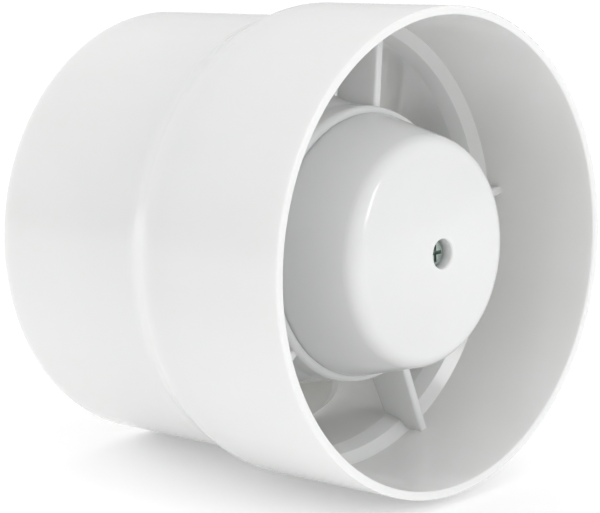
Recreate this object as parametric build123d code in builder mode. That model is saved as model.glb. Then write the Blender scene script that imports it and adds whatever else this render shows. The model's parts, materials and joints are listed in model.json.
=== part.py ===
from build123d import *
import os
from math import cos, pi, radians, sin, sqrt

# In-duct axial extractor fan for a 100 mm round duct, in millimetres.
# +Y runs along the shaft, from the outlet rim at Y = 0 to the inlet end.
# +Z is up, and +X is to the right seen from the outlet.
# Angles go clockwise from +Z seen from the outlet, which is also the running direction.

os.makedirs("parts", exist_ok=True)

# ---- Duct shell ----
socket_bore = 100.2  # inside of the outlet collar, which takes the duct
collar_wall = 1.9
collar_length = 36.0
step_length = 11.0  # smooth step between the collar and the spigot
spigot_length = 40.2
spigot_allowance = 2.2  # how much smaller the spigot is than the socket
spigot_wall = 2.5
ring_setback = 6.0  # the duct's stop ring starts this far before the outer step
ring_width = 5.4
ring_cone = 1.8  # steep first cone of the stop ring, before the long lead-in
ring_share = 0.67  # share of the bore's step that the first cone takes
rim_round = 0.45
inlet_round = 1.6

# ---- Pod: nose cover and motor cup ----
nose_setback = 1.9  # nose tip behind the outlet rim
nose_crown = 88.0  # radius of the slightly domed face
cover_front_d = 48.6
cover_rear_d = 57.2
cover_length = 21.3
cover_wall = 2.0
cover_round = 4.5
cup_front_d = 60.1
cup_rear_d = 64.0
cup_length = 23.8
cup_wall = 1.95
cup_shoulder = 1.8
cup_straight = 6.8  # nearly straight stretch behind the shoulder
cup_flare = 8.0  # length over which the cup grows to its rear size
chamber_depth = 9.8  # from the cover's seat to the bulkhead
bulkhead = 2.4
lip_height = 3.0
lip_wall = 1.8
fit = 0.15  # sliding fit of pieces that slip together
touch_gap = 0.1  # air left between pieces that only lie beside each other
over = 1.0  # how far a cut runs past the face that it opens

# ---- Struts ----
strut_count = 5
strut_angle = 12.0  # first strut, as the fan lies with its cable entry turned down
strut_thickness = 2.0
strut_setback = 1.4  # strut's front edge behind the cover's seat
strut_rake = 1.8  # how far the front edge leans back from pod to wall
strut_depth = 11.8
strut_round = 0.6
strut_root = 0.4  # share of the cup wall that a strut starts inside

# ---- Cover screw ----
recess_d = 6.3
recess_depth = 4.6
recess_mouth = 0.2  # chamfer round the mouth of the recess
screw_d = 3.0
screw_head_d = 5.5
screw_head_h = 2.3
screw_slot = 0.8
slot_share = 0.72  # length of a cross slot as a share of its head
cover_tube_wall = 1.8
cover_tube_length = 8.0  # tube below the recess floor
cover_screw_length = 24.0
post_d = 8.0

# ---- Motor ----
stack_d = 56.0
motor_scale = stack_d / 56.0  # the motor's cross-section below is drawn for a 56 mm stack
stack_length = 14.0
yoke_width = 5.0 * motor_scale
pole_count = 4
pole_width = 9.0 * motor_scale
pole_root = 0.6  # how far a pole runs into the yoke and the shoe
rotor_d = 26.4 * motor_scale
air_gap = 0.4
shoe_height = 2.8 * motor_scale
shoe_half_angle = 35.0
coil_width = 16.8 * motor_scale
coil_overhang = 3.9
former_wall = 0.8
winding_gap = 0.3  # how far a winding stays inside its former's flanges
winding_round = 3.0 * motor_scale
shading_width = 4.5  # degrees that each long side of a shading ring spans
shading_end = 1.1
shading_setback = 0.8  # from the pole face to the shading ring
shading_depth = 1.2
shading_inner = 16.0  # degrees from the pole's middle to the ring's inner side
shading_tip = 0.5  # degrees that the ring stands off the shoe's tip
fuse_size = (7.0, 2.4, 2.8 * motor_scale)
bracket_standoff = 0.8  # pads between the bulkhead and the motor
bracket_plate = 2.4
bracket_rim = 2.4  # rim between the plate and the stack
bracket_arm = 6.0
bearing_seat_d = 14.0
bearing_d = 10.0
bearing_length = 4.0
shaft_d = 5.0
bearing_clearance = 0.04
end_float = 0.3
washer_d = 8.6
ring_thickness = 1.2  # end rings of the rotor cage
ring_inset = 0.2  # end rings stay this far inside the rotor
seat_clearance = 0.8  # round the bearing seats, inside the end rings
bar_count = 17
bar_d = 1.8
bar_inset = 1.4  # middle of a bar to the rotor's surface
slinger = 0.8  # washer between the rear bearing and the impeller
shaft_tip = 0.4
bolt_d = 3.0
bolt_head_d = 5.0
bolt_head_h = 2.0
bolt_pad = 0.4  # pads under the motor are this much wider than the bolt heads
bolt_end = 0.8  # thread past the nut
nut_across = 5.5
nut_h = 2.2
hole_clearance = 0.1  # radial clearance of screws in through holes

# ---- Impeller ----
blade_count = 7
tip_clearance = 0.8
hub_gap = 1.4  # between the cup and the impeller hub
hub_wall = 2.2
hub_length = 21.8
hub_dome = 5.0
hub_bulge = 0.75  # share of the dome's height that it has at half its radius
hub_round = 3.0
blade_setback = 1.0  # blades start behind the hub's open edge
blade_thickness = 1.8
blade_length = 20.2
blade_phase = 150.0  # angle of one blade's outlet edge at the hub
blade_camber = 0.07  # rise of the blade's curve as a share of its chord
blade_corner = 4.5
boss_d = 10.0
clip_d = 9.0
clip_thickness = 0.6
clip_recess = 2.0
clip_recess_d = 13.0

# ---- Terminals and cable entry ----
cable_hole_d = 7.4
cable_bore_d = 5.4
grommet_flange_d = 10.0
grommet_flange = 1.1
grommet_sleeve = 1.6  # how far the grommet reaches inside the chamber
entry_angle = 112.0
entry_pad_d = 10.8
block_size = (20.0, 13.0, 10.0)
block_z = 9.8
terminal_pitch = 8.0
terminal_d = 4.4
wire_bore_d = 2.6
terminal_screw_d = 2.4
terminal_screw_pitch = 4.8
block_screw_length = 13.0
block_screw_head = (3.3, 1.2, 0.5)  # diameter, height and slot
block_screw_bite = 1.6
insert_place = 0.62  # share of the block's height above its screws' mouths
clamp_size = (6.0, 3.5, 19.0)
clamp_round = 2.7
clamp_tunnel = (4.2, 6.5)  # hollow over the cable, across and along the clamp
clamp_thread = 6.0
clamp_x = 7.0
clamp_z = -11.5
clamp_pitch = 13.0
clamp_post = 9.0
clamp_saddle = 2.2
clamp_screw_length = 8.0
lead_d = 1.8
lead_bend = 4.0

# ---- Sizes that follow from the values above ----
r_socket = socket_bore / 2
r_collar = r_socket + collar_wall
r_spigot = (socket_bore - spigot_allowance) / 2
r_throat = r_spigot - spigot_wall
r_ring = r_socket - (r_socket - r_throat) * ring_share
y_step = collar_length
y_spigot = y_step + step_length
y_end = y_spigot + spigot_length
y_ring = y_step - ring_setback

r_cover_front = cover_front_d / 2
r_cover_rear = cover_rear_d / 2
r_cup_front = cup_front_d / 2
r_cup_rear = cup_rear_d / 2
y_seat = nose_setback + cover_length
y_cup_end = y_seat + cup_length
y_bulkhead = y_seat + chamber_depth
y_motor = y_bulkhead + bulkhead + bracket_standoff
r_chamber = r_cup_front - cup_wall
r_cup_bore = r_cup_rear - cup_wall
cover_taper = (r_cover_rear - r_cover_front) / (cover_length - cover_round)
r_lip = r_cover_rear - cover_wall - fit - lip_height * cover_taper

y_recess = nose_setback + recess_depth
y_post = y_recess + cover_tube_length
r_screw = screw_d / 2

r_stack = stack_d / 2
r_yoke = r_stack - yoke_width
r_bolts = r_stack - yoke_width / 2
r_rotor = rotor_d / 2
r_bore = r_rotor + air_gap
r_shoe = r_bore + shoe_height
y_stack = y_motor + bracket_plate + bracket_rim
y_stack_end = y_stack + stack_length
y_stack_mid = (y_stack + y_stack_end) / 2
y_rear_plate = y_stack_end + bracket_rim
y_motor_end = y_rear_plate + bracket_plate
y_nut_end = y_motor_end + nut_h
r_shaft = shaft_d / 2
r_bearing = bearing_d / 2
r_hole = bolt_d / 2 + hole_clearance
front_bearing_end = y_motor + bearing_length
rear_bearing_start = y_rear_plate
rear_bearing_end = rear_bearing_start + bearing_length

r_tip = r_throat - tip_clearance
r_hub = r_cup_rear
r_hub_bore = r_hub - hub_wall
y_hub = y_cup_end + hub_gap
y_hub_edge = y_hub + hub_length
y_hub_tip = y_hub_edge + hub_dome
y_hub_back = y_hub_edge - hub_wall
y_boss = rear_bearing_end + end_float + slinger
y_clip = y_hub_tip - clip_recess
y_blade = y_hub + blade_setback
r_terminal = terminal_d / 2
y_block = y_bulkhead - block_size[1]
y_insert = y_block + insert_place * block_size[1]
y_clamp = y_bulkhead - clamp_post
y_entry = y_bulkhead - cable_hole_d / 2 - touch_gap
r_coil_in = r_shoe + touch_gap
r_coil_out = sqrt(r_yoke**2 - (coil_width / 2) ** 2) - touch_gap
y_winding = y_stack - coil_overhang + winding_gap
lead_z = (r_coil_in + r_coil_out) / 2  # the leads start at the middle of the top winding


def station(y):
    """Plane square to the shaft: local x is +X, local y is +Z, and it faces the outlet."""
    return Plane.XZ.offset(-y)


def radial_plane(angle, y, radius):
    """Plane that faces away from the shaft at an angle, with local x clockwise, y along +Y."""
    tangent = (cos(radians(angle)), 0, -sin(radians(angle)))
    outward = (sin(radians(angle)), 0, cos(radians(angle)))
    origin = (radius * outward[0], y, radius * outward[2])
    return Plane(origin=origin, x_dir=tangent, z_dir=outward)


def spots(radius, count, first):
    """Places evenly round a circle, for a sketch on a station plane."""
    steps = [radians(first + 360 * k / count) for k in range(count)]
    return [(radius * sin(a), radius * cos(a)) for a in steps]


def ring(y0, y1, r_out, r_in=0, places=((0, 0),), mode=Mode.ADD):
    """Add or cut a disc or a washer between two stations, at one or more places."""
    with BuildSketch(station(y1)) as face:
        with Locations(*places):
            Circle(r_out)
            if r_in:
                Circle(r_in, mode=Mode.SUBTRACT)
    extrude(face.sketch, amount=y1 - y0, mode=mode)


def bore(y0, y1, radius, places=((0, 0),)):
    """Cut round holes between two stations."""
    ring(y0, y1, radius, 0, places, Mode.SUBTRACT)


def sector(y0, y1, r_in, r_out, start, end, mode=Mode.ADD):
    """Add or cut an arc-shaped block between two angles and two stations."""
    a0, a1, mid = radians(start), radians(end), radians((start + end) / 2)
    with BuildSketch(station(y1)) as face:
        with BuildLine():
            ThreePointArc(*[(r_out * sin(a), r_out * cos(a)) for a in (a0, mid, a1)])
            Line((r_out * sin(a1), r_out * cos(a1)), (r_in * sin(a1), r_in * cos(a1)))
            ThreePointArc(*[(r_in * sin(a), r_in * cos(a)) for a in (a1, mid, a0)])
            Line((r_in * sin(a0), r_in * cos(a0)), (r_out * sin(a0), r_out * cos(a0)))
        make_face()
    extrude(face.sketch, amount=y1 - y0, mode=mode)


def keep(builder, name):
    """Label a finished sub-part and write it under its own name."""
    builder.part.label = name
    export_step(builder.part, f"parts/{name}.step")


bolt_spots = spots(r_bolts, pole_count, 180 / pole_count)
clamp_spots = [(clamp_x, clamp_z - clamp_pitch / 2), (clamp_x, clamp_z + clamp_pitch / 2)]
terminal_xs = (-terminal_pitch / 2, terminal_pitch / 2)


# ---- Casing: duct shell, struts and motor cup in one moulding ----
with BuildSketch(Plane.XY) as shell_outline:
    with BuildLine():
        Polyline((0, 0), (r_collar, 0), (r_collar, y_step))
        Spline((r_collar, y_step), (r_spigot, y_spigot), tangents=[(0, 1), (0, 1)])
        Polyline((r_spigot, y_spigot), (r_spigot, y_end), (0, y_end), (0, 0))
    make_face()

with BuildPart() as shell_envelope:
    revolve(shell_outline.sketch, axis=Axis.Y)

with BuildPart() as strut:
    y_front = y_seat + strut_setback
    y_rear = y_front + strut_depth
    r_root = r_chamber + strut_root * cup_wall
    with BuildSketch(Plane.YZ):
        Polygon(
            (y_front, r_root),
            (y_front + strut_rake, r_collar),
            (y_rear, r_collar),
            (y_rear, r_root),
            align=None,
        )
    extrude(amount=strut_thickness / 2, both=True)
    long_edges = strut.edges().filter_by_position(Axis.Z, r_root + 1, r_collar - 1)
    fillet(long_edges, strut_round)

with BuildPart() as casing:
    for k in range(strut_count):
        add(strut.part.rotate(Axis.Y, strut_angle + 360 * k / strut_count))
    add(shell_envelope.part, mode=Mode.INTERSECT)
    with BuildSketch(Plane.XY) as shell_section:
        add(shell_outline.sketch)
        with BuildLine():
            Polyline(
                (0, 0),
                (r_socket, 0),
                (r_socket, y_ring),
                (r_ring, y_ring + ring_cone),
                (r_throat, y_ring + ring_width),
                (r_throat, y_end),
                (0, y_end),
                close=True,
            )
        make_face(mode=Mode.SUBTRACT)
        fillet(shell_section.vertices().group_by(Axis.Y)[0], rim_round)
        inlet_corners = shell_section.vertices().group_by(Axis.Y)[-1].sort_by(Axis.X)
        fillet(inlet_corners[0], inlet_round)
        outer_corner = shell_section.vertices().sort_by_distance((r_spigot, y_end, 0))[0]
        fillet(outer_corner, rim_round)
    revolve(axis=Axis.Y)
    with BuildSketch(Plane.XY) as cup_section:
        with BuildLine():
            Polyline(
                (r_cup_front, y_seat),
                (r_cup_front + touch_gap, y_seat + cup_straight),
                (r_cup_rear, y_seat + cup_straight + cup_flare),
                (r_cup_rear, y_cup_end),
                (r_cup_bore, y_cup_end),
                (r_cup_bore, y_seat + cup_straight + cup_flare),
                (r_chamber, y_seat + cup_straight),
                (r_chamber, y_seat + cup_wall),
                (r_lip - lip_wall, y_seat + cup_wall),
                (r_lip - lip_wall, y_seat - lip_height),
                (r_lip, y_seat - lip_height),
                (r_lip, y_seat),
                close=True,
            )
        make_face()
        shoulder = cup_section.vertices().sort_by_distance((r_cup_front, y_seat, 0))[0]
        fillet(shoulder, cup_shoulder)
        flare_ends = [
            (r_cup_front + touch_gap, y_seat + cup_straight, 0),
            (r_cup_rear, y_seat + cup_straight + cup_flare, 0),
        ]
        for end in flare_ends:
            fillet(cup_section.vertices().sort_by_distance(end)[0], cup_flare)
    revolve(axis=Axis.Y)
    ring(y_bulkhead, y_bulkhead + bulkhead, r_chamber + cup_wall / 2)
    ring(y_bulkhead + bulkhead, y_motor, bolt_head_d / 2 + bolt_pad, places=bolt_spots)
    ring(y_post, y_bulkhead, post_d / 2)
    ring(y_clamp, y_bulkhead, screw_head_d / 2, places=clamp_spots)
    with BuildSketch(radial_plane(entry_angle, y_entry, r_chamber)):
        Circle(entry_pad_d / 2)
    extrude(amount=r_cup_rear - r_chamber)
    with BuildSketch(radial_plane(entry_angle, y_entry, r_chamber - cup_wall)):
        Circle(cable_hole_d / 2)
    extrude(amount=cup_wall * 4, mode=Mode.SUBTRACT)
    bore(y_post, y_bulkhead - over, r_screw)
    bore(y_bulkhead - clamp_thread, y_bulkhead + over, r_screw, clamp_spots)
    bore(y_clamp, y_bulkhead, r_screw, clamp_spots)
    bore(y_bulkhead, y_bulkhead + block_screw_bite, r_screw, [(0, block_z)])
    bore(y_bulkhead, y_motor, r_hole, bolt_spots)
    with BuildSketch(station(y_bulkhead + bulkhead)):
        with Locations((0, lead_z)):
            SlotOverall(terminal_pitch + 3 * lead_d, 2 * lead_d)
    extrude(amount=bulkhead, mode=Mode.SUBTRACT)
keep(casing, "casing")


# ---- Nose cover over the terminal chamber, held by one central screw ----
r_recess = recess_d / 2
r_mouth = r_recess + recess_mouth
r_tube = r_recess + cover_tube_wall
r_inner = r_cover_front - cover_wall
inner_nose = nose_setback + cover_wall


def on_crown(nose, radius):
    """Point of the domed face at a radius, for a dome whose tip is at nose."""
    return (radius, nose + nose_crown - sqrt(nose_crown**2 - radius**2))


with BuildPart() as terminal_cover:
    with BuildSketch(Plane.XY) as cover_section:
        with BuildLine():
            ThreePointArc(*[on_crown(nose_setback, r) for r in (r_mouth, 12, r_cover_front)])
            Polyline(
                on_crown(nose_setback, r_cover_front),
                (r_cover_rear, y_seat),
                (r_cover_rear - cover_wall, y_seat),
                on_crown(inner_nose, r_inner),
            )
            ThreePointArc(*[on_crown(inner_nose, r) for r in (r_inner, 12, r_tube)])
            Polyline(
                on_crown(inner_nose, r_tube),
                (r_tube, y_post),
                (r_hole, y_post),
                (r_hole, y_recess),
                (r_recess, y_recess),
                (r_recess, nose_setback + 2 * recess_mouth),
                on_crown(nose_setback, r_mouth),
            )
        make_face()
        outer_edge = (*on_crown(nose_setback, r_cover_front), 0)
        fillet(cover_section.vertices().sort_by_distance(outer_edge)[0], cover_round)
        inner_edge = (*on_crown(inner_nose, r_inner), 0)
        inner_round = max(cover_round - cover_wall, rim_round)
        fillet(cover_section.vertices().sort_by_distance(inner_edge)[0], inner_round)
    revolve(axis=Axis.Y)
keep(terminal_cover, "terminal_cover")


def screw(head_y, head_d, head_h, shank_d, length, places, slot=screw_slot):
    """Pan-head screws that point away from the outlet, heads resting at head_y."""
    ring(head_y - head_h, head_y, head_d / 2, places=places)
    ring(head_y, head_y + length, shank_d / 2, places=places)
    with BuildSketch(station(head_y - head_h / 2)) as slots:
        with Locations(*places):
            Rectangle(head_d * slot_share, slot)
            Rectangle(slot, head_d * slot_share)
    extrude(slots.sketch, amount=head_h, mode=Mode.SUBTRACT)


with BuildPart() as cover_screw:
    screw(y_recess, screw_head_d, screw_head_h, screw_d, cover_screw_length, [(0, 0)])
    rim = cover_screw.faces().sort_by(Axis.Y)[0].outer_wire().edges()
    fillet(rim, rim_round)
keep(cover_screw, "cover_screw")

# ---- Cable entry: grommet and cord clamp ----
with BuildPart() as cable_grommet:
    with BuildSketch(radial_plane(entry_angle, y_entry, r_cup_rear)):
        Circle(grommet_flange_d / 2)
    extrude(amount=grommet_flange)
    with BuildSketch(radial_plane(entry_angle, y_entry, r_chamber - grommet_sleeve)):
        Circle(cable_hole_d / 2)
    extrude(amount=r_cup_rear - r_chamber + grommet_sleeve)
    with BuildSketch(radial_plane(entry_angle, y_entry, r_chamber - grommet_sleeve)):
        Circle(cable_bore_d / 2)
    extrude(amount=r_cup_rear, mode=Mode.SUBTRACT)
keep(cable_grommet, "cable_grommet")

with BuildPart() as cable_clamp:
    with BuildSketch(station(y_clamp)):
        with Locations((clamp_x, clamp_z)):
            RectangleRounded(clamp_size[0], clamp_size[2], clamp_round)
    extrude(amount=clamp_size[1])
    with BuildSketch(station(y_clamp + clamp_saddle)):
        with Locations((clamp_x, clamp_z)):
            Rectangle(*clamp_tunnel)
    extrude(amount=clamp_saddle)
    bore(y_clamp - clamp_size[1], y_clamp, r_hole, clamp_spots)
keep(cable_clamp, "cable_clamp")

with BuildPart() as clamp_screws:
    y_head = y_clamp - clamp_size[1]
    screw(y_head, screw_head_d, bolt_head_h, screw_d, clamp_screw_length, clamp_spots)
keep(clamp_screws, "clamp_screws")

# ---- Terminal block ----
screw_zs = (block_z - terminal_screw_pitch / 2, block_z + terminal_screw_pitch / 2)
terminal_spots = [(x, z) for x in terminal_xs for z in screw_zs]
z_block = block_z - block_size[2] / 2

with BuildPart() as terminal_block:
    with BuildSketch(station(y_bulkhead)):
        with Locations((0, block_z)):
            Rectangle(block_size[0], block_size[2])
    extrude(amount=block_size[1])
    fillet(terminal_block.edges().group_by(Axis.Y)[0], rim_round)
    with BuildSketch(Plane.XY.offset(z_block)):
        with Locations(*[(x, y_insert) for x in terminal_xs]):
            Circle(r_terminal)
    extrude(amount=block_size[2], mode=Mode.SUBTRACT)
    bore(y_block, y_insert, terminal_screw_d / 2 + hole_clearance, terminal_spots)
    bore(y_block, y_bulkhead, r_hole, [(0, block_z)])
keep(terminal_block, "terminal_block")

with BuildPart() as terminal_inserts:
    with BuildSketch(Plane.XY.offset(z_block + rim_round)):
        with Locations(*[(x, y_insert) for x in terminal_xs]):
            Circle(r_terminal)
            Circle(wire_bore_d / 2, mode=Mode.SUBTRACT)
    extrude(amount=block_size[2] - 2 * rim_round)
    bore(y_insert - r_terminal, y_insert, terminal_screw_d / 2, terminal_spots)
keep(terminal_inserts, "terminal_inserts")

with BuildPart() as terminal_screws:
    y_tip = y_insert - lead_d / 2 - touch_gap
    ring(y_block + rim_round, y_tip, terminal_screw_d / 2, places=terminal_spots)
    with BuildSketch(station(y_block + 2 * rim_round)) as terminal_slots:
        with Locations(*terminal_spots):
            Rectangle(terminal_screw_d, screw_slot / 2)
    extrude(amount=rim_round, mode=Mode.SUBTRACT)
keep(terminal_screws, "terminal_screws")

with BuildPart() as block_screw:
    head_d, head_h, head_slot = block_screw_head
    screw(y_block, head_d, head_h, screw_d, block_screw_length, [(0, block_z)], head_slot)
keep(block_screw, "block_screw")


# ---- Motor: stator ----
def shading_loops(mode=Mode.ADD):
    """Copper loops round one tip of each pole shoe, or the slots that they lie in."""
    r_in = r_bore + shading_setback
    r_out = r_in + shading_depth
    tip = shoe_half_angle + shading_tip
    for k in range(pole_count):
        turn = 360 * k / pole_count
        start, end = turn + shading_inner, turn + tip + shading_width
        sector(y_stack - shading_end, y_stack, r_in, r_out, start, end, mode)
        sector(y_stack_end, y_stack_end + shading_end, r_in, r_out, start, end, mode)
        sector(y_stack, y_stack_end, r_in, r_out, start, start + shading_width, mode)
        sector(y_stack, y_stack_end, r_in, r_out, turn + tip, end, mode)


with BuildPart() as stator_stack:
    ring(y_stack, y_stack_end, r_stack, r_yoke)
    for k in range(pole_count):
        turn = 360 * k / pole_count
        sector(y_stack, y_stack_end, r_bore, r_shoe, turn - shoe_half_angle, turn + shoe_half_angle)
        with BuildSketch(station(y_stack_end)):
            with Locations(Location((0, 0), turn)):
                with Locations((0, (r_shoe + r_yoke) / 2)):
                    Rectangle(pole_width, r_yoke - r_shoe + 2 * pole_root)
        extrude(amount=stack_length)
    bore(y_stack, y_stack_end, r_hole, bolt_spots)
    shading_loops(Mode.SUBTRACT)
keep(stator_stack, "stator_stack")

with BuildPart() as shading_rings:
    shading_loops()
keep(shading_rings, "shading_rings")

former_core = (pole_width + 2 * former_wall, stack_length + 2 * former_wall)
with BuildPart() as one_former:
    with BuildSketch(Plane.XY.offset(r_coil_in)):
        with Locations((0, y_stack_mid)):
            Rectangle(*former_core)
    extrude(amount=r_coil_out - r_coil_in)
    with BuildSketch(Plane.XY.offset(r_coil_in), Plane.XY.offset(r_coil_out - former_wall)):
        with Locations((0, y_stack_mid)):
            RectangleRounded(coil_width, stack_length + 2 * coil_overhang, former_wall * 2)
    extrude(amount=former_wall)
    with BuildSketch(Plane.XY.offset(r_coil_in)):
        with Locations((0, y_stack_mid)):
            Rectangle(pole_width, stack_length)
    extrude(amount=r_coil_out - r_coil_in, mode=Mode.SUBTRACT)

with BuildPart() as one_winding:
    with BuildSketch(Plane.XY.offset(r_coil_in + former_wall)):
        with Locations((0, y_stack_mid)):
            RectangleRounded(coil_width - 2 * winding_gap, 2 * (y_stack_mid - y_winding), winding_round)
            Rectangle(*former_core, mode=Mode.SUBTRACT)
    extrude(amount=r_coil_out - r_coil_in - 2 * former_wall)

with BuildPart() as coil_formers:
    for k in range(pole_count):
        add(one_former.part.rotate(Axis.Y, 360 * k / pole_count))
keep(coil_formers, "coil_formers")

with BuildPart() as windings:
    for k in range(pole_count):
        add(one_winding.part.rotate(Axis.Y, 360 * k / pole_count))
keep(windings, "windings")

with BuildPart() as thermal_cutout:
    z_fuse = -(r_coil_in + r_coil_out) / 2
    y_fuse = 2 * y_stack_mid - y_winding
    with BuildSketch(station(y_fuse + fuse_size[1])):
        with Locations((0, z_fuse)):
            Rectangle(fuse_size[0], fuse_size[2])
    extrude(amount=fuse_size[1])
    fillet(thermal_cutout.edges().filter_by(Axis.X), rim_round)
keep(thermal_cutout, "thermal_cutout")

with BuildPart() as motor_leads:
    for x in terminal_xs:
        with BuildLine() as route:
            FilletPolyline(
                (x, y_winding, lead_z),
                (x, y_insert, lead_z),
                (x, y_insert, block_z + terminal_screw_pitch / 2 - lead_d / 2),
                radius=lead_bend,
            )
        with BuildSketch(Plane(origin=(x, y_winding, lead_z), z_dir=(0, -1, 0))) as wire:
            Circle(lead_d / 2)
        sweep(wire.sketch, path=route.line)
keep(motor_leads, "motor_leads")


# ---- Motor: bearing brackets, bushes, bolts and nuts ----
def bracket(rim_start, plate_start, seat_start):
    """Rim that sits on the stack, a plate with four arms and a bearing seat."""
    ring(rim_start, rim_start + bracket_rim, r_stack, r_yoke)
    with BuildSketch(station(plate_start + bracket_plate)) as plate:
        Circle(r_stack)
        Circle(r_yoke, mode=Mode.SUBTRACT)
        for angle in (45, 135):
            with Locations(Location((0, 0), angle)):
                Rectangle(bracket_arm, 2 * r_yoke + 1)
    extrude(plate.sketch, amount=bracket_plate)
    ring(seat_start, seat_start + bearing_length, bearing_seat_d / 2)
    bore(seat_start, seat_start + bearing_length, r_bearing)
    bore(min(rim_start, plate_start), max(rim_start, plate_start) + 3, r_hole, bolt_spots)


with BuildPart() as front_bracket:
    bracket(y_motor + bracket_plate, y_motor, y_motor)
keep(front_bracket, "front_bracket")

with BuildPart() as rear_bracket:
    bracket(y_stack_end, y_rear_plate, y_rear_plate)
keep(rear_bracket, "rear_bracket")

with BuildPart() as front_bearing:
    ring(y_motor, front_bearing_end, r_bearing, r_shaft + bearing_clearance)
keep(front_bearing, "front_bearing")

with BuildPart() as rear_bearing:
    ring(rear_bearing_start, rear_bearing_end, r_bearing, r_shaft + bearing_clearance)
keep(rear_bearing, "rear_bearing")

with BuildPart() as motor_bolts:
    bolt_length = y_nut_end + bolt_end - y_bulkhead
    screw(y_bulkhead, bolt_head_d, bolt_head_h, bolt_d, bolt_length, bolt_spots)
keep(motor_bolts, "motor_bolts")

with BuildPart() as motor_nuts:
    with BuildSketch(station(y_nut_end)):
        with Locations(*bolt_spots):
            RegularPolygon(nut_across / 2, 6, major_radius=False)
            Circle(bolt_d / 2, mode=Mode.SUBTRACT)
    extrude(amount=nut_h)
keep(motor_nuts, "motor_nuts")

# ---- Rotating group: shaft, rotor, washers, impeller and clip ----
with BuildPart() as shaft:
    ring(y_motor + shaft_tip, y_hub_tip - shaft_tip, r_shaft)
    chamfer(shaft.edges().filter_by(GeomType.CIRCLE), shaft_tip)
keep(shaft, "shaft")

bar_spots = spots(r_rotor - bar_inset, bar_count, 0)
with BuildPart() as rotor_core:
    ring(y_stack, y_stack_end, r_rotor, r_shaft)
    bore(y_stack, y_stack_end, bar_d / 2, bar_spots)
keep(rotor_core, "rotor_core")

with BuildPart() as rotor_cage:
    ring(y_stack, y_stack_end, bar_d / 2, places=bar_spots)
    for y in (y_stack - ring_thickness, y_stack_end):
        ring(y, y + ring_thickness, r_rotor - ring_inset, bearing_seat_d / 2 + seat_clearance)
keep(rotor_cage, "rotor_cage")

with BuildPart() as thrust_washers:
    ring(front_bearing_end + end_float, y_stack, washer_d / 2, r_shaft)
    ring(y_stack_end, rear_bearing_start - end_float, washer_d / 2, r_shaft)
    ring(rear_bearing_end + end_float, y_boss, washer_d / 2, r_shaft)
keep(thrust_washers, "thrust_washers")

# Blade sections from inside the hub to past the tip:
# radius, angle of the outlet edge, chord length and pitch from the running direction.
blade_sections = [
    (r_hub_bore - 3, -3.0, 27.5, 49.0),
    (r_hub + 0.4 * (r_tip - r_hub), 5.0, 31.0, 41.0),
    (r_tip + 1.5, 15.0, 34.0, 34.0),
]

with BuildPart() as blade:
    for radius, edge_angle, chord, pitch in blade_sections:
        run = chord * cos(radians(pitch))
        rise = chord * sin(radians(pitch))
        middle = edge_angle + run / 2 / radius * 180 / pi
        bow = blade_camber * chord
        bow_x, bow_y = -bow * sin(radians(pitch)), bow * cos(radians(pitch))
        plane = radial_plane(middle, y_blade + rise / 2, radius)
        with BuildLine() as camber_line:
            ThreePointArc((-run / 2, -rise / 2), (bow_x, bow_y), (run / 2, rise / 2))
        with BuildSketch(plane):
            SlotArc(camber_line.edges()[0], blade_thickness)
    loft()
    with BuildSketch(Plane.XY) as sweep_limits:
        with Locations(((r_hub_bore + r_tip) / 2, y_blade + blade_length / 2)):
            Rectangle(r_tip - r_hub_bore, blade_length)
        tips = sweep_limits.vertices().group_by(Axis.X)[-1]
        fillet(tips, blade_corner)
    revolve(axis=Axis.Y, mode=Mode.INTERSECT)

with BuildPart() as impeller:
    with BuildSketch(Plane.XY) as hub_section:
        dome_mid = hub_dome * hub_bulge
        with BuildLine():
            Polyline((0, y_hub), (r_hub, y_hub), (r_hub, y_hub_edge))
            ThreePointArc((r_hub, y_hub_edge), (r_hub / 2, y_hub_edge + dome_mid), (0, y_hub_tip))
            Line((0, y_hub_tip), (0, y_hub))
        make_face()
        hub_edge = (r_hub, y_hub_edge, 0)
        fillet(hub_section.vertices().sort_by_distance(hub_edge)[0], hub_round)
    revolve(axis=Axis.Y)
    for k in range(blade_count):
        add(blade.part.rotate(Axis.Y, blade_phase + 360 * k / blade_count))
    with BuildSketch(Plane.XY):
        with BuildLine():
            Polyline((0, y_hub), (r_hub_bore, y_hub), (r_hub_bore, y_hub_back))
            ThreePointArc(
                (r_hub_bore, y_hub_back),
                (r_hub_bore / 2, y_hub_back + dome_mid),
                (0, y_hub_back + hub_dome),
            )
            Line((0, y_hub_back + hub_dome), (0, y_hub))
        make_face()
    revolve(axis=Axis.Y, mode=Mode.SUBTRACT)
    ring(y_boss, y_clip, boss_d / 2)
    ring(y_clip - hub_wall, y_hub_back + hub_dome, clip_recess_d / 2 + hub_wall)
    bore(y_clip, y_hub_tip, clip_recess_d / 2)
    bore(y_boss, y_hub_tip, r_shaft)
keep(impeller, "impeller")

with BuildPart() as impeller_clip:
    ring(y_clip, y_clip + clip_thickness, clip_d / 2, r_shaft)
keep(impeller_clip, "impeller_clip")
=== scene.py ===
"""In-line bathroom extractor fan: finishes, wound and stacked motor detail, and the studio it stands in."""
import json
import math

import bmesh
import bpy
from bpy.props import FloatProperty, FloatVectorProperty, IntProperty, PointerProperty
from mathutils import Matrix, Vector


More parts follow.
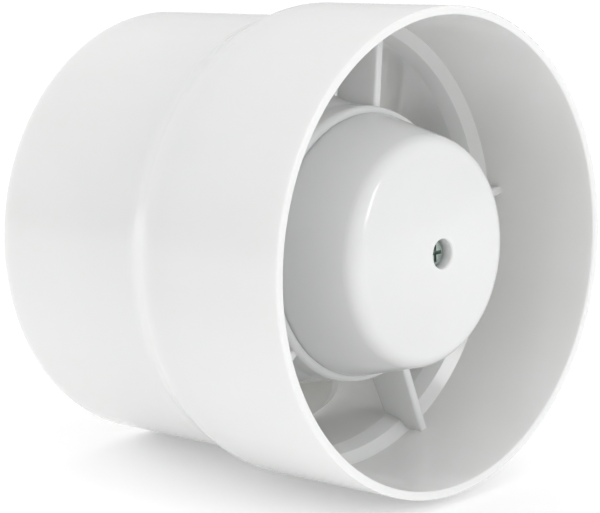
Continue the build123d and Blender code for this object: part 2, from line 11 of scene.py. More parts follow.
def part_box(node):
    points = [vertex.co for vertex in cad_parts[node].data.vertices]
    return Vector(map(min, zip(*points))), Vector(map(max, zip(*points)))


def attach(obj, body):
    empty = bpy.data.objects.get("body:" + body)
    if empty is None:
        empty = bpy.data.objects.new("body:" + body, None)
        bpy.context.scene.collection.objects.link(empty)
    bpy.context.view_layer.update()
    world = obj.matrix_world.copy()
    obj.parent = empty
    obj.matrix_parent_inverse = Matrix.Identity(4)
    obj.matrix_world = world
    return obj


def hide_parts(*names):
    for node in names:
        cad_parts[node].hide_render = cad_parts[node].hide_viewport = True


bl_info = {
    "name": "In-line extractor fan",
    "version": (1, 0, 0),
    "blender": (4, 5, 0),
    "location": "3D View > Sidebar > Extractor fan",
    "description": "Dresses the packed extractor fan in its finishes, winds its motor and sets up its studio",
    "category": "Object",
}

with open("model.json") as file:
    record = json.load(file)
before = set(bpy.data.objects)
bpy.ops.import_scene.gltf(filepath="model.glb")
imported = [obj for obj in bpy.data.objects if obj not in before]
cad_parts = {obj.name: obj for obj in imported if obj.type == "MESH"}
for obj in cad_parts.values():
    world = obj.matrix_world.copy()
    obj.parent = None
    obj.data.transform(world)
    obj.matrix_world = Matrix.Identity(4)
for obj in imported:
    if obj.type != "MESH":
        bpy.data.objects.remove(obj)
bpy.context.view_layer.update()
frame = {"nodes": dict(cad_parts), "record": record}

MM = 0.001
MERGE = 0.002 * MM
FLOOR_SIZE = 6.0
WINDING_ROUND = 3.0 * MM  # corner radius of a coil's outermost turn

# Lights, in metres. The key's and the back light's places are from the point that the camera looks at.
# The fill's place is towards the camera, to its right and up, as the camera sees it.
KEY_PLACE, KEY_SIZE = (0.0, -0.88, 0.36), (0.18, 0.44)
FILL_PLACE, FILL_SIZE = (0.60, 0.70, 0.25), (0.7, 0.7)
BACK_PLACE, BACK_SIZE = (-0.15, 0.85, 0.25), (0.6, 0.6)


# ---- Node trees ----
class Wire:
    """One output socket, used as a number in ordinary expressions."""

    def __init__(self, nodes, socket):
        self.nodes = nodes
        self.socket = socket

    def __add__(self, other):
        return self.nodes.maths("ADD", self, other)

    def __radd__(self, other):
        return self.nodes.maths("ADD", other, self)

    def __sub__(self, other):
        return self.nodes.maths("SUBTRACT", self, other)

    def __rsub__(self, other):
        return self.nodes.maths("SUBTRACT", other, self)

    def __mul__(self, other):
        return self.nodes.maths("MULTIPLY", self, other)

    def __rmul__(self, other):
        return self.nodes.maths("MULTIPLY", other, self)

    def __truediv__(self, other):
        return self.nodes.maths("DIVIDE", self, other)

    def __pow__(self, other):
        return self.nodes.maths("POWER", self, other)


class Nodes:
    """A node tree that is written one call per node."""

    maths_node = "ShaderNodeMath"

    def __init__(self, tree):
        self.tree = tree

    def node(self, kind, settings=None, inputs=None, output=0):
        """Adds a node, sets its options and then its sockets, and gives back one of its outputs."""
        made = self.tree.nodes.new(kind)
        for option, value in (settings or {}).items():
            setattr(made, option, value)
        for key, value in (inputs or {}).items():
            self.feed(made.inputs[key], value)
        return Wire(self, made.outputs[output])

    def feed(self, socket, value):
        """Links a wire to a socket, or sets the socket to a plain value."""
        if isinstance(value, Wire):
            self.tree.links.new(value.socket, socket)
        else:
            socket.default_value = value

    def maths(self, operation, first, second):
        return self.node(self.maths_node, {"operation": operation}, {0: first, 1: second})


class Finish(Nodes):
    """A material whose patterns are all worked out from the object's own coordinates."""

    def __init__(self, name, colour, roughness, metallic=0.0, **constants):
        self.material = bpy.data.materials.new(name)
        self.material.use_nodes = True
        super().__init__(self.material.node_tree)
        self.shader = self.tree.nodes["Principled BSDF"]
        self.place = self.node("ShaderNodeTexCoord", output="Object")
        self.colour = tuple(colour)[:3]
        self.roughness = roughness
        self.shader.inputs["Base Color"].default_value = (*self.colour, 1.0)
        self.shader.inputs["Metallic"].default_value = metallic
        for socket, value in constants.items():
            self.shader.inputs[socket.replace("_", " ").title().replace("Ior", "IOR")].default_value = value
        self.bumps = None

    def stretched(self, stretch):
        """The object's coordinates, scaled along each axis."""
        if stretch == (1, 1, 1):
            return self.place
        return self.node("ShaderNodeMapping", inputs={"Vector": self.place, "Scale": stretch})

    def noise(self, size, detail=2.0, stretch=(1, 1, 1)):
        """Soft mottling from 0 to 1 whose patches are about size metres across."""
        sockets = {"Vector": self.stretched(stretch), "Scale": 1 / size, "Detail": detail}
        return self.node("ShaderNodeTexNoise", inputs=sockets)

    def cells(self, size):
        """Distance to the middle of the nearest grain, with grains about size metres across."""
        return self.node("ShaderNodeTexVoronoi", inputs={"Vector": self.place, "Scale": 1 / size})

    def axial(self):
        """Distance along the shaft, and distance from it, in metres."""
        parts = self.node("ShaderNodeSeparateXYZ", inputs={0: self.place})
        x, y, z = (Wire(self, parts.socket.node.outputs[k]) for k in range(3))
        return y, (x * x + z * z) ** 0.5

    def rings(self, pitch):
        """Turning marks, as fine uneven rings round the shaft's line."""
        along, radius = self.axial()
        return self.node(
            "ShaderNodeTexNoise",
            {"noise_dimensions": "1D"},
            {"W": (along + radius) / pitch, "Scale": 1.0, "Detail": 3.0},
        )

    def between(self, value, low, high):
        """0 below low, 1 above high and smooth between them."""
        settings = {"interpolation_type": "SMOOTHSTEP"}
        return self.node("ShaderNodeMapRange", settings, {"Value": value, "From Min": low, "From Max": high})

    def tint(self, mask, colour):
        """Moves the base colour towards another where the mask is 1."""
        socket = self.shader.inputs["Base Color"]
        old = Wire(self, socket.links[0].from_socket) if socket.is_linked else (*self.colour, 1.0)
        mixed = self.node("ShaderNodeMix", {"data_type": "RGBA"}, {0: mask, 6: old, 7: (*colour, 1.0)}, 2)
        self.feed(socket, mixed)

    def polish(self, change):
        """Roughness as the plain value plus a change over the surface."""
        self.feed(self.shader.inputs["Roughness"], self.roughness + change)

    def bump(self, height, depth):
        """Adds relief of that depth in metres, on top of any bump before it."""
        sockets = {"Height": height, "Distance": depth, "Strength": 1.0}
        if self.bumps is not None:
            sockets["Normal"] = self.bumps
        self.bumps = self.node("ShaderNodeBump", inputs=sockets)
        self.feed(self.shader.inputs["Normal"], self.bumps)


class Form(Nodes):
    """A geometry tree with named inputs, which ends in real faces with their material set."""

    sockets = {"float": "NodeSocketFloat", "count": "NodeSocketInt", "finish": "NodeSocketMaterial"}

    def __init__(self, name, **inputs):
        super().__init__(bpy.data.node_groups.new(name, "GeometryNodeTree"))
        interface = self.tree.interface
        interface.new_socket("Geometry", in_out="INPUT", socket_type="NodeSocketGeometry")
        for label, kind in inputs.items():
            interface.new_socket(label, in_out="INPUT", socket_type=self.sockets[kind])
        interface.new_socket("Geometry", in_out="OUTPUT", socket_type="NodeSocketGeometry")
        self.entry = self.tree.nodes.new("NodeGroupInput")

    def value(self, label):
        return Wire(self, self.entry.outputs[label])

    def point(self, x=0.0, y=0.0, z=0.0):
        return self.node("ShaderNodeCombineXYZ", inputs={0: x, 1: y, 2: z})

    def joined(self, *pieces):
        """All the pieces as one geometry."""
        made = self.tree.nodes.new("GeometryNodeJoinGeometry")
        for piece in reversed(pieces):
            self.tree.links.new(piece.socket, made.inputs[0])
        return Wire(self, made.outputs[0])

    def close(self, instances, finish):
        """Realizes the instances, sets their material and ends the tree."""
        real = self.node("GeometryNodeRealizeInstances", inputs={0: instances})
        dressed = self.node("GeometryNodeSetMaterial", inputs={"Geometry": real, "Material": finish})
        self.feed(self.tree.nodes.new("NodeGroupOutput").inputs[0], dressed)
        return self.tree


def grown(name, seed_mesh, tree, **values):
    """A plain mesh object, grown by a geometry tree from a seed mesh and its named inputs."""
    piece = bpy.data.objects.new(name, seed_mesh)
    bpy.context.scene.collection.objects.link(piece)
    modifier = piece.modifiers.new("Form", "NODES")
    modifier.node_group = tree
    for item in tree.interface.items_tree:
        if item.in_out == "INPUT" and item.name in values:
            modifier[item.identifier] = values[item.name]
    graph = bpy.context.evaluated_depsgraph_get()
    plain = bpy.data.meshes.new_from_object(piece.evaluated_get(graph), depsgraph=graph)
    piece.modifiers.remove(modifier)
    piece.data = plain
    return piece


def dress(finish, *nodes):
    """Gives CAD nodes a finish in place of the plain one that they came with."""
    for node in nodes:
        for part_slot in frame["nodes"][node].material_slots:
            part_slot.material = finish.material


# ---- Finishes ----
# Thin white mouldings let some light through their walls.
TRANSLUCENT = {"subsurface_weight": 0.8, "subsurface_radius": (1.0, 0.96, 0.92), "subsurface_scale": 3.0 * MM}


def moulded(name, colour, roughness, peel=0.5 * MM, relief=0.0015 * MM, **constants):
    """Injection-moulded plastic: faint flow tint, a few specks, orange peel and shallow sink marks."""
    finish = Finish(name, colour, roughness, specular_ior_level=0.5, **constants)
    flow = finish.noise(26 * MM, 4.0, (1, 0.35, 1))
    finish.tint(finish.between(flow, 0.35, 0.75) * 0.5, [c * f for c, f in zip(colour, (0.965, 0.97, 0.96))])
    specks = finish.cells(2.3 * MM)
    finish.tint((1 - finish.between(specks, 0.02, 0.05)) * 0.10, [c * 0.75 for c in colour])
    cloud = finish.noise(9 * MM, 3.0)
    haze = finish.noise(0.25 * MM, 2.0)
    finish.polish((cloud - 0.5) * 0.07 + (haze - 0.5) * 0.05)
    finish.bump(finish.noise(peel, 1.0), relief)
    finish.bump(finish.noise(11 * MM, 1.0, (1, 0.4, 1)), 4 * relief)
    return finish


def plated(name, colour, roughness=0.30):
    """Bright zinc plate with a patchy passivated film and a fine satin grain."""
    finish = Finish(name, colour, roughness, metallic=1.0)
    film = finish.noise(1.6 * MM, 4.0)
    passivated = [c * f for c, f in zip(colour, (0.80, 0.92, 0.84))]
    finish.tint(finish.between(film, 0.40, 0.68) * 0.55, passivated)
    finish.tint(finish.between(finish.noise(0.5 * MM, 2.0), 0.58, 0.75) * 0.35, (0.62, 0.56, 0.42))
    finish.polish((film - 0.5) * 0.22)
    finish.bump(finish.rings(0.10 * MM), 0.003 * MM)
    finish.bump(finish.cells(0.16 * MM), 0.002 * MM)
    return finish


def turned(name, colour, roughness, pitch=0.08 * MM, relief=0.003 * MM):
    """Machined metal with turning marks round the shaft's line and faint handling stains."""
    finish = Finish(name, colour, roughness, metallic=1.0)
    marks = finish.rings(pitch)
    stain = finish.noise(3.2 * MM, 4.0)
    finish.tint(finish.between(stain, 0.52, 0.80) * 0.45, [c * 0.72 for c in colour])
    finish.polish((marks - 0.5) * 0.18 + (stain - 0.5) * 0.10)
    finish.bump(marks, relief)
    return finish


def die_cast(name, colour):
    """Die-cast alloy: matt grainy skin, cold-flow streaks and darker pores."""
    finish = Finish(name, colour, 0.44, metallic=1.0)
    streaks = finish.noise(5 * MM, 5.0, (1, 0.3, 1.4))
    pores = 1 - finish.between(finish.cells(0.9 * MM), 0.05, 0.13)
    finish.tint(finish.between(streaks, 0.35, 0.70) * 0.6, [c * 0.74 for c in colour])
    finish.tint(pores * 0.5, [c * 0.45 for c in colour])
    finish.polish((streaks - 0.5) * 0.20 + pores * 0.12)
    finish.bump(finish.noise(0.35 * MM, 3.0), 0.012 * MM)
    finish.bump(1 - pores, 0.02 * MM)
    return finish


def sheet_steel(name, colour):
    """Punched electrical sheet: patchy grey oxide skin and a little surface rust."""
    finish = Finish(name, colour, 0.38, metallic=1.0)
    oxide = finish.noise(2.4 * MM, 5.0)
    rust = finish.between(finish.noise(4.5 * MM, 6.0), 0.60, 0.74)
    finish.tint(finish.between(oxide, 0.35, 0.72) * 0.7, [c * 0.62 for c in colour])
    finish.tint(rust * 0.45, (0.20, 0.085, 0.035))
    finish.polish((oxide - 0.5) * 0.22 + rust * 0.25)
    finish.bump(finish.noise(0.22 * MM, 3.0), 0.006 * MM)
    return finish


def porous_bronze(name, colour):
    """Sintered bronze: open pores between the grains, dark with oil in patches."""
    finish = Finish(name, colour, 0.42, metallic=1.0)
    grains = finish.cells(0.18 * MM)
    oil = finish.between(finish.noise(2.2 * MM, 3.0), 0.45, 0.65)
    finish.tint(finish.between(grains, 0.45, 0.75) * 0.7, [c * 0.35 for c in colour])
    finish.tint(oil * 0.45, [c * 0.55 for c in colour])
    finish.polish(grains * 0.16 - oil * 0.14)
    finish.bump(1 - grains, 0.02 * MM)
    return finish


def drawn_copper(name, colour):
    """Bare copper bar with draw lines and brown tarnish."""
    finish = Finish(name, colour, 0.28, metallic=1.0)
    tarnish = finish.between(finish.noise(1.8 * MM, 5.0), 0.42, 0.70)
    lines = finish.noise(0.12 * MM, 2.0, (1, 0.05, 1))
    finish.tint(tarnish * 0.75, [c * f for c, f in zip(colour, (0.50, 0.38, 0.34))])
    finish.polish(tarnish * 0.20 + (lines - 0.5) * 0.12)
    finish.bump(lines, 0.004 * MM)
    return finish


def magnet_wire(name, colour):
    """Enamelled winding wire: amber lacquer over copper, thicker and darker in drips."""
    finish = Finish(name, colour, 0.26, metallic=0.85, coat_weight=0.8, coat_roughness=0.12)
    lacquer = finish.noise(1.5 * MM, 4.0)
    drips = finish.between(finish.noise(4.2 * MM, 2.0), 0.55, 0.72)
    thick = [c * f for c, f in zip(colour, (0.62, 0.42, 0.40))]
    finish.tint(finish.between(lacquer, 0.35, 0.70) * 0.6, thick)
    finish.tint(drips * 0.4, (0.16, 0.045, 0.02))
    finish.polish((lacquer - 0.5) * 0.14 - drips * 0.08)
    finish.bump(finish.noise(0.3 * MM, 2.0), 0.006 * MM)
    return finish


def blued_spring(name, colour):
    """Tempered spring steel, straw to blue where it was heated."""
    finish = Finish(name, colour, 0.28, metallic=1.0)
    temper = finish.between(finish.noise(2.6 * MM, 2.0), 0.40, 0.62)
    finish.tint(temper * 0.7, (0.30, 0.24, 0.15))
    finish.polish((finish.rings(0.07 * MM) - 0.5) * 0.20)
    finish.bump(finish.rings(0.07 * MM), 0.003 * MM)
    return finish


def pressed_fibre(name, colour):
    """Vulcanised fibre: short pressed fibres, dry and slightly nappy."""
    finish = Finish(name, colour, 0.62)
    strands = finish.noise(0.35 * MM, 6.0, (1, 2.4, 0.3))
    finish.tint(finish.between(strands, 0.35, 0.70), [min(1.0, c * 1.9) for c in colour])
    finish.polish((strands - 0.5) * 0.25)
    finish.bump(strands, 0.02 * MM)
    return finish


def soft_rubber(name, colour):
    """Grommet rubber: dull skin, bloom in patches and a fine moulded texture."""
    finish = Finish(name, colour, 0.62)
    bloom = finish.between(finish.noise(2.8 * MM, 5.0), 0.42, 0.72)
    finish.tint(bloom * 0.45, [c + (0.7 - c) * 0.35 for c in colour])
    finish.polish(bloom * 0.18)
    finish.bump(finish.cells(0.28 * MM), 0.012 * MM)
    return finish


def braided_sleeve(name, colour):
    """Varnished glass braid: two sets of slanting strands with varnish between them."""
    finish = Finish(name, colour, 0.48)
    sets = []
    for slant in (1, -1):
        turn = {"Vector": finish.place, "Rotation": (slant * math.radians(45), 0.0, slant * math.radians(45))}
        laid = finish.node("ShaderNodeMapping", inputs=turn)
        sets.append(finish.node("ShaderNodeTexWave", inputs={"Vector": laid, "Scale": 0.45 / MM}))
    weave = sets[0] * sets[1]
    finish.tint((1 - weave) * 0.55, [c * f for c, f in zip(colour, (0.62, 0.52, 0.38))])
    finish.tint(finish.between(finish.noise(1.9 * MM, 3.0), 0.5, 0.7) * 0.4, (0.48, 0.34, 0.16))
    finish.polish((1 - weave) * 0.15)
    finish.bump(weave, 0.05 * MM)
    return finish


# ---- Settings ----
def colour_setting(name, description, default):
    return FloatVectorProperty(
        name=name, description=description, default=default, size=3, subtype="COLOR", min=0.0, max=1.0
    )


class FanFinishSettings(bpy.types.PropertyGroup):
    shell: colour_setting("Shell", "Glossy white of the casing and its service cover", (0.780, 0.786, 0.783))
    impeller: colour_setting("Impeller", "Slightly warmer white of the impeller", (0.800, 0.800, 0.785))
    shell_roughness: FloatProperty(
        name="Shell roughness", description="How satin the shell is", default=0.13, min=0.0, max=1.0,
        subtype="FACTOR",
    )
    zinc: colour_setting("Zinc", "Plated screws, bolts and nuts", (0.440, 0.500, 0.475))
    wire: colour_setting("Wire", "Enamelled copper wire", (0.640, 0.215, 0.080))


class FanMotorSettings(bpy.types.PropertyGroup):
    sheets: IntProperty(
        name="Sheets", description="Steel sheets in the motor's stack", default=28, min=2, max=60
    )
    sheet_gap: FloatProperty(
        name="Sheet gap", description="Part of each sheet's pitch left open", default=0.16, min=0.0, max=0.5,
        subtype="FACTOR",
    )
    wire_d: FloatProperty(
        name="Wire", description="Outside diameter of the winding wire", default=0.38 * MM, min=0.1 * MM,
        max=1.0 * MM, unit="LENGTH", precision=5,
    )
    layers: IntProperty(name="Layers", description="Layers of wire on each coil", default=6, min=1, max=10)
    coils: IntProperty(name="Coils", description="Coils round the stack", default=4, min=2, max=8)


class FanStageSettings(bpy.types.PropertyGroup):
    azimuth: FloatProperty(
        name="Azimuth", description="Way round the fan that the camera looks from",
        default=math.radians(-45.9), unit="ROTATION",
    )
    elevation: FloatProperty(
        name="Elevation", description="Angle that the camera looks down at",
        default=math.radians(9.96), unit="ROTATION",
    )
    roll: FloatProperty(
        name="Roll", description="Turn of the camera about its own line of sight",
        default=math.radians(-2.18), unit="ROTATION",
    )
    distance: FloatProperty(
        name="Distance", description="Camera to the point that it looks at", default=506.9 * MM, unit="LENGTH"
    )
    lens: FloatProperty(name="Lens", description="Focal length", default=136.67, min=20.0, unit="CAMERA")
    aim: FloatVectorProperty(
        name="Aim", description="Where the camera looks, from the middle of the casing",
        default=(-0.66 * MM, -0.41 * MM, -4.33 * MM), size=3, subtype="TRANSLATION", unit="LENGTH",
    )
    key_power: FloatProperty(
        name="Key light", description="Tall softbox in front of the outlet", default=1.45, unit="POWER"
    )
    fill_power: FloatProperty(
        name="Fill light", description="Broad soft light on the bore", default=0.10, unit="POWER"
    )
    back_power: FloatProperty(
        name="Back light", description="Soft light into the inlet", default=1.6, unit="POWER"
    )
    sky: FloatProperty(name="Sky", description="Light of the white studio overhead", default=1.05, min=0.0)
    horizon: FloatProperty(
        name="Horizon", description="Light of the studio at eye level", default=0.66, min=0.0
    )
    floor: colour_setting("Floor", "Pale studio floor", (0.94, 0.94, 0.94))
    floor_glow: FloatProperty(
        name="Floor glow", description="Light from the translucent floor", default=0.18, min=0.0
    )


# ---- Pieces ----
class FAN_OT_shell(bpy.types.Operator):
    """Finish the casing, its service cover, the cable clamp and the grommet"""

    bl_idname = "fan.shell"
    bl_label = "Shell"

    def execute(self, context):
        look = context.scene.fan_finishes
        shell = moulded("shell_plastic", look.shell, look.shell_roughness, **TRANSLUCENT)
        dress(shell, "casing", "terminal_cover", "cable_clamp")
        dress(soft_rubber("grommet_rubber", (0.30, 0.30, 0.29)), "cable_grommet")
        return {"FINISHED"}


class FAN_OT_impeller(bpy.types.Operator):
    """Finish the impeller and the clip that holds it on the shaft"""

    bl_idname = "fan.impeller"
    bl_label = "Impeller"

    def execute(self, context):
        look = context.scene.fan_finishes
        roughness = look.shell_roughness + 0.06
        blades = moulded("impeller_plastic", look.impeller, roughness, peel=0.35 * MM, **TRANSLUCENT)
        dress(blades, "impeller")
        dress(blued_spring("spring_steel", (0.20, 0.22, 0.30)), "impeller_clip")
        return {"FINISHED"}


class FAN_OT_fasteners(bpy.types.Operator):
    """Finish the screws, bolts and nuts"""

    bl_idname = "fan.fasteners"
    bl_label = "Screws, bolts and nuts"

    def execute(self, context):
        zinc = plated("zinc_steel", context.scene.fan_finishes.zinc)
        dress(zinc, "cover_screw", "clamp_screws", "terminal_screws", "block_screw")
        dress(zinc, "motor_bolts", "motor_nuts")
        return {"FINISHED"}


class FAN_OT_terminals(bpy.types.Operator):
    """Finish the terminal block, its inserts, the leads and the thermal cut-out"""

    bl_idname = "fan.terminals"
    bl_label = "Terminals and leads"

    def execute(self, context):
        block = moulded("terminal_plastic", (0.62, 0.63, 0.58), 0.40, peel=0.3 * MM, subsurface_weight=0.1)
        dress(block, "terminal_block")
        dress(turned("brass_insert", (0.72, 0.52, 0.22), 0.24), "terminal_inserts")
        dress(braided_sleeve("lead_sleeve", (0.74, 0.70, 0.58)), "motor_leads")
        dress(moulded("cutout_plastic", (0.035, 0.033, 0.036), 0.42, peel=0.2 * MM), "thermal_cutout")
        return {"FINISHED"}


class FAN_OT_running_gear(bpy.types.Operator):
    """Finish the motor's brackets, bushes, shaft, rotor bars and washers"""

    bl_idname = "fan.running_gear"
    bl_label = "Brackets, bushes and shaft"

    def execute(self, context):
        dress(die_cast("cast_bracket", (0.56, 0.57, 0.59)), "front_bracket", "rear_bracket", "rotor_cage")
        dress(porous_bronze("bronze_bush", (0.60, 0.37, 0.17)), "front_bearing", "rear_bearing")
        dress(turned("ground_steel", (0.64, 0.64, 0.66), 0.17, pitch=0.04 * MM, relief=0.0015 * MM), "shaft")
        dress(pressed_fibre("fibre_washer", (0.26, 0.075, 0.04)), "thrust_washers")
        return {"FINISHED"}


def end_face(node):
    """The flat end of a CAD node on the outlet's side, as a merged mesh of its own."""
    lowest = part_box(node)[0].y
    sheet = bmesh.new()
    sheet.from_mesh(frame["nodes"][node].data)
    bmesh.ops.remove_doubles(sheet, verts=sheet.verts, dist=MERGE)
    others = [face for face in sheet.faces if any(v.co.y > lowest + MERGE for v in face.verts)]
    bmesh.ops.delete(sheet, geom=others, context="FACES")
    mesh = bpy.data.meshes.new(node + "_sheet")
    sheet.to_mesh(mesh)
    sheet.free()
    return mesh


def sheet_stack_form():
    """One punched outline, given a thickness and repeated along the shaft."""
    form = Form("Sheet stack", Sheets="count", Pitch="float", Thickness="float", Finish="finish")
    outline = form.value("Geometry")
    sheet = form.node(
        "GeometryNodeExtrudeMesh", {"mode": "FACES"},
        {"Mesh": outline, "Offset Scale": form.value("Thickness"), "Individual": False},
    )
    back = form.node("GeometryNodeFlipFaces", inputs={"Mesh": outline})
    closed = form.node(
        "GeometryNodeMergeByDistance", inputs={"Geometry": form.joined(sheet, back), "Distance": MERGE}
    )
    places = form.node(
        "GeometryNodeMeshLine", inputs={
            "Count": form.value("Sheets"), "Start Location": form.point(y=form.value("Thickness")),
            "Offset": form.point(y=form.value("Pitch")),
        },
    )
    stack = form.node("GeometryNodeInstanceOnPoints", inputs={"Points": places, "Instance": closed})
    return form.close(stack, form.value("Finish"))


class FAN_OT_laminations(bpy.types.Operator):
    """Stack the motor's stator and rotor from punched steel sheets"""

    bl_idname = "fan.laminations"
    bl_label = "Steel sheets"

    def execute(self, context):
        motor = context.scene.fan_motor
        steel = sheet_steel("lamination_steel", (0.42, 0.43, 0.45))
        tree = sheet_stack_form()
        for name, node, body in (
            ("stator_sheets", "stator_stack", "housing"),
            ("rotor_sheets", "rotor_core", "rotor"),
        ):
            low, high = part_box(node)
            pitch = (high.y - low.y) / motor.sheets
            thickness = pitch * (1 - motor.sheet_gap)
            piece = grown(
                name, end_face(node), tree,
                Sheets=motor.sheets, Pitch=pitch, Thickness=thickness, Finish=steel.material,
            )
            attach(piece, body)
            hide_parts(node)
        return {"FINISHED"}


def coil_form(layers):
    """Rounded turns of wire, laid in layers round each pole and repeated for every coil."""
    form = Form(
        "Wound coils", Width="float", Length="float", Middle="float", Inner="float", Corner="float",
        Wire="float", Turns="count", Coils="count", Finish="finish",
    )
    wire = form.value("Wire")
    section = form.node("GeometryNodeCurvePrimitiveCircle", inputs={"Resolution": 5, "Radius": wire * 0.5})
    nested = []
    for layer in range(layers):
        inset = wire * (2 * layer + 1)
        loop = form.node(
            "GeometryNodeCurvePrimitiveQuadrilateral",
            inputs={"Width": form.value("Width") - inset, "Height": form.value("Length") - inset},
        )
        corner = form.value("Corner") - wire * (0.5 * layer)
        rounding = {"Curve": loop, "Radius": corner, "Count": 2, "Limit Radius": True}
        rounded = form.node("GeometryNodeFilletCurve", {"mode": "POLY"}, rounding)
        turn = form.node("GeometryNodeCurveToMesh", inputs={"Curve": rounded, "Profile Curve": section})
        nested.append(turn)
    smooth = form.node("GeometryNodeSetShadeSmooth", inputs={"Geometry": form.joined(*nested)})
    first = form.point(y=form.value("Middle"), z=form.value("Inner") + wire * 0.5)
    row = form.node(
        "GeometryNodeMeshLine",
        inputs={"Count": form.value("Turns"), "Start Location": first, "Offset": form.point(z=wire)},
    )
    coil = form.node("GeometryNodeInstanceOnPoints", inputs={"Points": row, "Instance": smooth})
    poles = form.node(
        "GeometryNodeMeshLine", inputs={"Count": form.value("Coils"), "Offset": (0.0, 0.0, 0.0)}
    )
    step = form.node("GeometryNodeInputIndex") * (2 * math.pi) / form.value("Coils")
    coils = form.node(
        "GeometryNodeInstanceOnPoints",
        inputs={"Points": poles, "Instance": coil, "Rotation": form.point(y=step)},
    )
    return form.close(coils, form.value("Finish"))


class FAN_OT_windings(bpy.types.Operator):
    """Wind the four coils and finish their formers and the copper shading rings"""

    bl_idname = "fan.windings"
    bl_label = "Coils"

    def execute(self, context):
        motor = context.scene.fan_motor
        copper = magnet_wire("enamelled_copper", context.scene.fan_finishes.wire)
        top = [v.co for v in frame["nodes"]["windings"].data.vertices if v.co.z > abs(v.co.x) * 2]
        low = Vector(min(p[k] for p in top) for k in range(3))
        high = Vector(max(p[k] for p in top) for k in range(3))
        piece = grown(
            "wound_coils", bpy.data.meshes.new("wound_coils"), coil_form(motor.layers),
            Width=high.x - low.x, Length=high.y - low.y, Middle=(low.y + high.y) / 2, Inner=low.z,
            Corner=WINDING_ROUND, Wire=motor.wire_d, Turns=int((high.z - low.z) / motor.wire_d),
            Coils=motor.coils, Finish=copper.material,
        )
        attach(piece, "housing")
        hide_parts("windings")
        dress(moulded("former_plastic", (0.66, 0.62, 0.52), 0.42, peel=0.25 * MM), "coil_formers")
        dress(drawn_copper("copper_bar", (0.78, 0.40, 0.26)), "shading_rings")
        return {"FINISHED"}


# ---- Stage ----
def facing(position, target, roll=0.0):
    """A placing at a position that looks at a target, turned about its line of sight by roll."""
    turn = (target - position).to_track_quat("-Z", "Y").to_matrix().to_4x4()
    return Matrix.Translation(position) @ turn @ Matrix.Rotation(roll, 4, "Z")


def softbox(name, position, target, size, power, mirrored=True):
    """A plain rectangular studio light, which glossy surfaces mirror or not."""
    light = bpy.data.lights.new(name, "AREA")
    light.shape = "RECTANGLE"
    light.size, light.size_y = size
    light.energy = power
    lamp = bpy.data.objects.new(name, light)
    lamp.matrix_world = facing(position, target)
    lamp.visible_glossy = mirrored
    bpy.context.scene.collection.objects.link(lamp)


def studio_floor(colour, glow):
    """Matt pale floor, faintly lit from within, with barely visible mottling and a fine tooth."""
    finish = Finish("studio_floor", colour, 0.75, specular_ior_level=0.2)
    cloud = finish.noise(0.2, 3.0)
    finish.tint(cloud * 0.3, [c * 0.985 for c in colour])
    finish.polish((cloud - 0.5) * 0.1)
    finish.bump(finish.noise(1.5 * MM, 2.0), 0.01 * MM)
    finish.shader.inputs["Emission Color"].default_value = (1.0, 1.0, 1.0, 1.0)
    finish.shader.inputs["Emission Strength"].default_value = glow
    return finish


def studio_sky(horizon, zenith):
    """White surroundings that are brighter overhead than at the horizon."""
    world = bpy.data.worlds.new("studio")
    world.use_nodes = True
    sky = Nodes(world.node_tree)
    background = world.node_tree.nodes["Background"]
    background.inputs["Color"].default_value = (1.0, 1.0, 1.0, 1.0)
    parts = sky.node("ShaderNodeSeparateXYZ", inputs={0: sky.node("ShaderNodeTexCoord")})
    height = Wire(sky, parts.socket.node.outputs["Z"])
    light = sky.node("ShaderNodeMapRange", inputs={"Value": height, "To Min": horizon, "To Max": zenith})
    sky.feed(background.inputs["Strength"], light)
    return world


def resting_points():
    """The two lowest points that the fan stands on: the collar's rear corner and the spigot's end."""
    ends = {mount["name"]: mount for mount in frame["record"]["mounts"]}
    collar, spigot = ends["outlet_collar"], ends["inlet_spigot"]
    collar_end = collar["pos_m"][1] + collar["dims"]["length_mm"] * MM
    corner = Vector((0.0, collar_end, -collar["dims"]["r_mm"] * MM))
    rim = Vector((0.0, spigot["pos_m"][1], -spigot["dims"]["r_mm"] * MM))
    return corner, rim


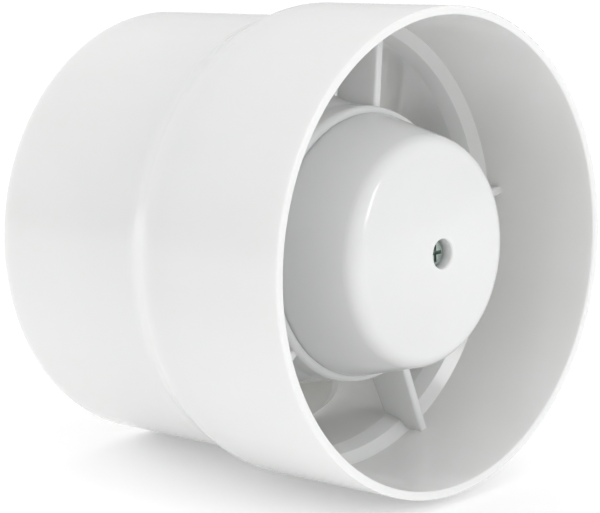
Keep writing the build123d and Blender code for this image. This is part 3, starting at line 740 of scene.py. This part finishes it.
class FAN_OT_stage(bpy.types.Operator):
    """Set up the floor under the fan, the soft lights and the camera"""

    bl_idname = "fan.stage"
    bl_label = "Studio"

    def execute(self, context):
        stage = context.scene.fan_stage
        low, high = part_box("casing")
        middle = (low + high) / 2
        aim = middle + Vector(stage.aim)
        flat = math.cos(stage.elevation)
        across, along = -math.sin(stage.azimuth) * flat, math.cos(stage.azimuth) * flat
        sight = Vector((across, along, -math.sin(stage.elevation)))
        seat = aim - sight * stage.distance
        view = bpy.data.cameras.new("camera")
        view.lens = stage.lens
        camera = bpy.data.objects.new("camera", view)
        camera.matrix_world = facing(seat, aim, stage.roll)
        context.scene.collection.objects.link(camera)
        context.scene.camera = camera

        corner, rim = resting_points()
        tilt = math.atan2(rim.z - corner.z, rim.y - corner.y)
        half = FLOOR_SIZE / 2
        mesh = bpy.data.meshes.new("studio_floor")
        corners = [(-half, -half, 0.0), (half, -half, 0.0), (half, half, 0.0), (-half, half, 0.0)]
        mesh.from_pydata(corners, [], [(0, 1, 2, 3)])
        mesh.transform(Matrix.Translation(corner) @ Matrix.Rotation(tilt, 4, "X"))
        mesh.materials.append(studio_floor(stage.floor, stage.floor_glow).material)
        floor = bpy.data.objects.new("studio_floor", mesh)
        context.scene.collection.objects.link(floor)

        side = sight.cross(Vector((0.0, 0.0, 1.0))).normalized()
        up = side.cross(sight)
        near, right, above = FILL_PLACE
        beside = aim - sight * near + side * right + up * above
        softbox("key", aim + Vector(KEY_PLACE), aim, KEY_SIZE, stage.key_power)
        softbox("fill", beside, aim, FILL_SIZE, stage.fill_power, False)
        softbox("back", aim + Vector(BACK_PLACE), aim, BACK_SIZE, stage.back_power, False)

        context.scene.world = studio_sky(stage.horizon, stage.sky)
        context.scene.view_settings.view_transform = "Standard"
        return {"FINISHED"}


# ---- Panel and running order ----
STEPS = (
    FAN_OT_shell,
    FAN_OT_impeller,
    FAN_OT_fasteners,
    FAN_OT_terminals,
    FAN_OT_running_gear,
    FAN_OT_laminations,
    FAN_OT_windings,
    FAN_OT_stage,
)
SETTINGS = {"fan_finishes": FanFinishSettings, "fan_motor": FanMotorSettings, "fan_stage": FanStageSettings}


class FAN_PT_steps(bpy.types.Panel):
    """Every step of the fan's making, in order, with its settings"""

    bl_label = "Extractor fan"
    bl_space_type = "VIEW_3D"
    bl_region_type = "UI"
    bl_category = "Extractor fan"

    def draw(self, context):
        for step in STEPS:
            self.layout.operator(step.bl_idname)
        for name in SETTINGS:
            group = getattr(context.scene, name)
            box = self.layout.box()
            for label in group.bl_rna.properties.keys():
                if label not in ("rna_type", "name"):
                    box.prop(group, label)


def register():
    for kind in (*SETTINGS.values(), *STEPS, FAN_PT_steps):
        bpy.utils.register_class(kind)
    for name, kind in SETTINGS.items():
        setattr(bpy.types.Scene, name, PointerProperty(type=kind))


def unregister():
    for name in SETTINGS:
        delattr(bpy.types.Scene, name)
    for kind in reversed((*SETTINGS.values(), *STEPS, FAN_PT_steps)):
        bpy.utils.unregister_class(kind)


def main():
    """Runs every step in order."""
    register()
    for step in STEPS:
        group, name = step.bl_idname.split(".")
        getattr(getattr(bpy.ops, group), name)()


if __name__ == "__main__":
    main()
